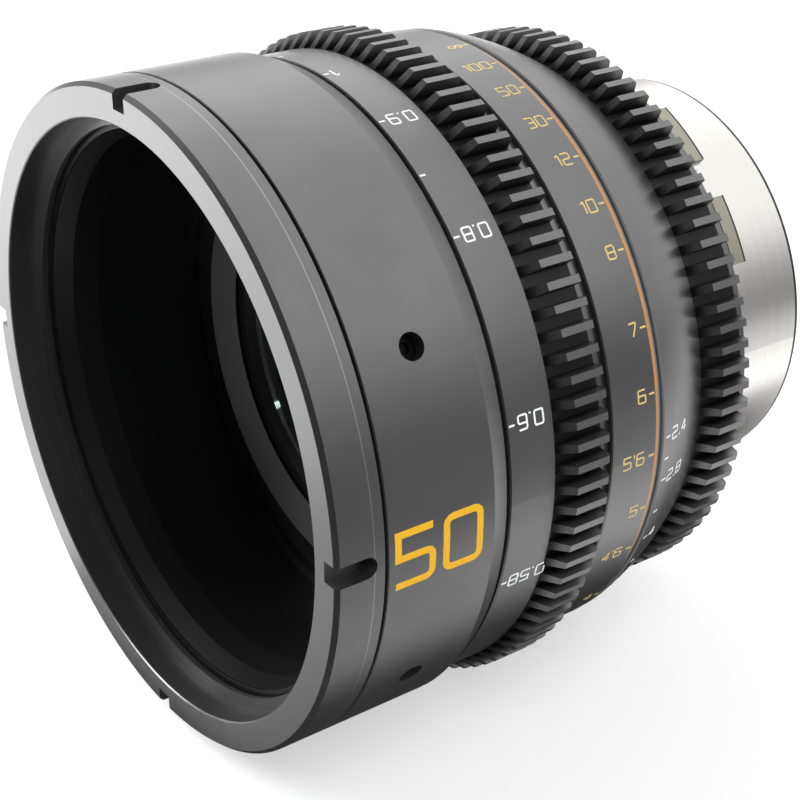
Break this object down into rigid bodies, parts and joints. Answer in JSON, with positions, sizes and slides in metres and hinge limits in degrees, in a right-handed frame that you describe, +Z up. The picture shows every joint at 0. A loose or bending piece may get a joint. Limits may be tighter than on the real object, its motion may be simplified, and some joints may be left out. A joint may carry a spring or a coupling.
{
  "type": "cinema prime lens",
  "caption": "Cinema prime lens with a geared focus ring, a geared iris ring, distance scales, an open iris of thin blades and a polished four-lug camera mount.",
  "frame": {"origin": "centre of the camera mount's flange seat, on the optical axis", "axes": "optical axis along Y with the front of the lens towards -Y and the mount towards +Y; +Z up, so the scale index faces +X"},
  "size_m": [0.0816, 0.0805, 0.0816],
  "materials": {
    "black_anodised": "satin black anodised aluminium",
    "black_matt": "matt black anodised aluminium, light-absorbing",
    "gear_black": "satin black anodised aluminium with cut teeth",
    "index_orange": "orange anodised aluminium",
    "mount_steel": "finely turned stainless steel, near mirror",
    "screw_black": "blackened steel",
    "screw_steel": "bright steel",
    "pin_steel": "ground steel",
    "bare_aluminium": "turned bare aluminium",
    "coated_glass": "anti-reflection coated optical glass",
    "inner_glass": "coated optical glass",
    "blade_black": "blackened spring steel"
  },
  "bodies": {
    "barrel": {"front_ring": "black_anodised", "front_barrel": "black_anodised", "front_set_screws": "screw_black", "hood_liner": "black_matt", "main_barrel": "bare_aluminium", "focus_stop_pin": "pin_steel", "index_ring": "index_orange", "rear_barrel": "bare_aluminium", "rear_barrel_screws": "screw_steel", "rear_housing": "black_anodised", "mount_shim": "pin_steel", "camera_mount": "mount_steel", "mount_screws": "screw_steel", "rear_baffle": "black_matt"},
    "focus_ring": {"focus_sleeve": "bare_aluminium", "metric_scale_ring": "black_anodised", "focus_gear": "gear_black", "feet_scale_ring": "black_anodised", "focus_ring_screws": "screw_black"},
    "iris_control": {"iris_ring": "black_anodised", "iris_gear": "gear_black", "iris_drive_pin": "pin_steel"},
    "optical_block": {"focus_carrier": "black_matt", "cam_followers": "pin_steel", "front_cell": "black_matt", "front_element": "coated_glass", "front_spacer": "black_matt", "second_element": "inner_glass", "second_spacer": "black_matt", "third_element": "inner_glass", "front_retaining_ring": "black_matt", "rear_cell": "black_matt", "fourth_element": "inner_glass", "fourth_spacer": "black_matt", "fifth_element": "inner_glass", "rear_spacer": "black_matt", "rear_element": "coated_glass", "rear_retaining_ring": "black_matt", "iris_plate": "black_matt", "iris_front_clamp": "black_matt", "iris_cover": "black_matt"},
    "cam_ring": {"iris_cam_ring": "bare_aluminium"},
    "blade_1": {"iris_blade_1": "blade_black"},
    "blade_2": {"iris_blade_2": "blade_black"},
    "blade_3": {"iris_blade_3": "blade_black"},
    "blade_4": {"iris_blade_4": "blade_black"},
    "blade_5": {"iris_blade_5": "blade_black"},
    "blade_6": {"iris_blade_6": "blade_black"},
    "blade_7": {"iris_blade_7": "blade_black"},
    "blade_8": {"iris_blade_8": "blade_black"},
    "blade_9": {"iris_blade_9": "blade_black"}
  },
  "joints": [
    {"name": "focus", "type": "hinge", "parent": "barrel", "child": "focus_ring", "pos_m": [0, -0.0325, 0], "axis": [0, -1, 0], "range_deg": [-84, 196]},
    {"name": "optics_travel", "type": "slide", "parent": "barrel", "child": "optical_block", "axis": [0, -1, 0], "range_m": [-0.00144, 0.00336]},
    {"name": "iris", "type": "hinge", "parent": "barrel", "child": "iris_control", "pos_m": [0, -0.0125, 0], "axis": [0, -1, 0], "range_deg": [0, 78]},
    {"name": "cam_turn", "type": "hinge", "parent": "optical_block", "child": "cam_ring", "pos_m": [0, -0.0209, 0], "axis": [0, -1, 0], "range_deg": [0, 78]},
    {"name": "blade_1_swing", "type": "hinge", "parent": "optical_block", "child": "blade_1", "pos_m": [0.017, -0.0225, 0], "axis": [0, -1, 0], "range_deg": [0, 30.4]},
    {"name": "blade_2_swing", "type": "hinge", "parent": "optical_block", "child": "blade_2", "pos_m": [0.01302, -0.0225, 0.01093], "axis": [0, -1, 0], "range_deg": [0, 30.4]},
    {"name": "blade_3_swing", "type": "hinge", "parent": "optical_block", "child": "blade_3", "pos_m": [0.00295, -0.0225, 0.01674], "axis": [0, -1, 0], "range_deg": [0, 30.4]},
    {"name": "blade_4_swing", "type": "hinge", "parent": "optical_block", "child": "blade_4", "pos_m": [-0.0085, -0.0225, 0.01472], "axis": [0, -1, 0], "range_deg": [0, 30.4]},
    {"name": "blade_5_swing", "type": "hinge", "parent": "optical_block", "child": "blade_5", "pos_m": [-0.01597, -0.0225, 0.00581], "axis": [0, -1, 0], "range_deg": [0, 30.4]},
    {"name": "blade_6_swing", "type": "hinge", "parent": "optical_block", "child": "blade_6", "pos_m": [-0.01597, -0.0225, -0.00581], "axis": [0, -1, 0], "range_deg": [0, 30.4]},
    {"name": "blade_7_swing", "type": "hinge", "parent": "optical_block", "child": "blade_7", "pos_m": [-0.0085, -0.0225, -0.01472], "axis": [0, -1, 0], "range_deg": [0, 30.4]},
    {"name": "blade_8_swing", "type": "hinge", "parent": "optical_block", "child": "blade_8", "pos_m": [0.00295, -0.0225, -0.01674], "axis": [0, -1, 0], "range_deg": [0, 30.4]},
    {"name": "blade_9_swing", "type": "hinge", "parent": "optical_block", "child": "blade_9", "pos_m": [0.01302, -0.0225, -0.01093], "axis": [0, -1, 0], "range_deg": [0, 30.4]}
  ],
  "couplings": [
    {"joint": "optics_travel", "follows": "focus", "m_per_rad": 0.000982},
    {"joint": "cam_turn", "follows": "iris", "ratio": 1},
    {"joint": "blade_1_swing", "follows": "iris", "ratio": 0.3897},
    {"joint": "blade_2_swing", "follows": "iris", "ratio": 0.3897},
    {"joint": "blade_3_swing", "follows": "iris", "ratio": 0.3897},
    {"joint": "blade_4_swing", "follows": "iris", "ratio": 0.3897},
    {"joint": "blade_5_swing", "follows": "iris", "ratio": 0.3897},
    {"joint": "blade_6_swing", "follows": "iris", "ratio": 0.3897},
    {"joint": "blade_7_swing", "follows": "iris", "ratio": 0.3897},
    {"joint": "blade_8_swing", "follows": "iris", "ratio": 0.3897},
    {"joint": "blade_9_swing", "follows": "iris", "ratio": 0.3897}
  ]
}
